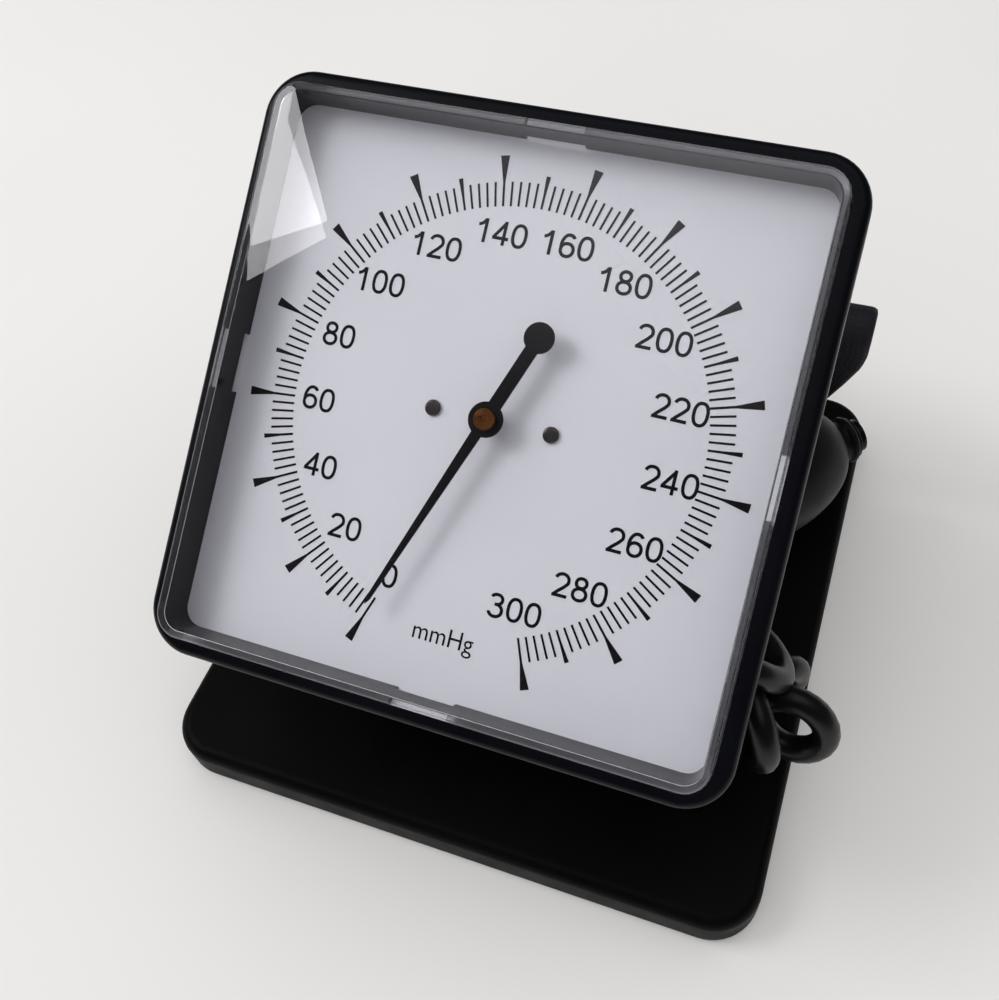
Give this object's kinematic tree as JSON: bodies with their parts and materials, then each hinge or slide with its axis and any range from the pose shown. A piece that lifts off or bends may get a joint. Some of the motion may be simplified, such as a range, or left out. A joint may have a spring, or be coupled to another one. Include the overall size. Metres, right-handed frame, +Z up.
{
  "type": "desk aneroid sphygmomanometer",
  "caption": "Desk blood-pressure gauge with a large square dial hinged over a storage basket, curly hose, bulb and cuff.",
  "frame": {"origin": "centre of the footprint, on the desk", "axes": "+X right, +Y back, +Z up; the dial faces forward and up"},
  "size_m": [0.2013, 0.202, 0.1732],
  "materials": {
    "black_plastic": "satin",
    "clear_plastic": "clear, polished",
    "dial_white": "matte white print",
    "pointer_black": "matte",
    "brass": "turned",
    "chrome": "polished",
    "steel": "plated",
    "black_rubber": "soft sheen",
    "cuff_fabric": "woven nylon"
  },
  "bodies": {
    "base": {"base_plate": "black_plastic", "base_feet": "black_rubber", "ballast_plate": "steel", "ballast_screws": "steel", "storage_basket": "black_plastic", "basket_screws": "steel", "hinge_pin": "steel", "hinge_nut": "steel", "hose_lead": "black_rubber", "hose_return": "black_rubber", "curly_hose": "black_rubber", "hose_tail": "black_rubber", "hose_connector": "chrome", "cuff_tube": "black_rubber", "cuff": "cuff_fabric", "bulb": "black_rubber", "intake_valve": "chrome", "release_valve": "chrome", "bulb_tube": "black_rubber"},
    "head": {"case_front": "black_plastic", "case_back": "black_plastic", "case_screws": "steel", "lens": "clear_plastic", "dial_plate": "dial_white", "dial_screws": "chrome", "movement_frame": "brass", "movement_screws": "steel", "capsule": "steel", "pressure_pipe": "brass", "hairspring": "steel", "hose_nipple": "chrome"},
    "stud": {"capsule_stud": "brass"},
    "rocker": {"rocker_shaft": "steel"},
    "sector": {"sector_gear": "brass"},
    "pointer": {"pinion": "brass", "pointer": "pointer_black", "pointer_boss": "brass"},
    "knob": {"valve_knob": "chrome"}
  },
  "joints": [
    {"name": "head_tilt", "type": "hinge", "parent": "base", "child": "head", "pos_m": [0, -0.069, 0.05725], "axis": [1, 0, 0], "range_deg": [0, 40], "deforming": ["hose_lead"]},
    {"name": "sector_turn", "type": "hinge", "parent": "head", "child": "sector", "pos_m": [0, -0.04707, 0.09746], "axis": [0, -0.5807, 0.8141], "range_deg": [0, 39.75], "stiffness_Nm_per_rad": 0.004, "springref_deg": -17.19},
    {"name": "pointer_turn", "type": "hinge", "parent": "head", "child": "pointer", "pos_m": [0, -0.02143, 0.11575], "axis": [0, -0.5807, 0.8141], "range_deg": [-318, 0]},
    {"name": "rocker_turn", "type": "hinge", "parent": "head", "child": "rocker", "pos_m": [-0.00237, -0.03702, 0.09714], "axis": [0, 0.8141, 0.5807], "range_deg": [0, 20.35]},
    {"name": "stud_lift", "type": "slide", "parent": "head", "child": "stud", "axis": [0, -0.5807, 0.8141], "range_m": [0, 0.0019]},
    {"name": "knob_turn", "type": "hinge", "parent": "base", "child": "knob", "pos_m": [0.01688, -0.00451, 0.0498], "axis": [0, 0, 1], "range_deg": [0, 360]}
  ],
  "couplings": [
    {"joint": "pointer_turn", "follows": "sector_turn", "ratio": -8},
    {"joint": "rocker_turn", "follows": "sector_turn", "ratio": 0.51191},
    {"joint": "stud_lift", "follows": "sector_turn", "m_per_rad": 0.0027387}
  ]
}
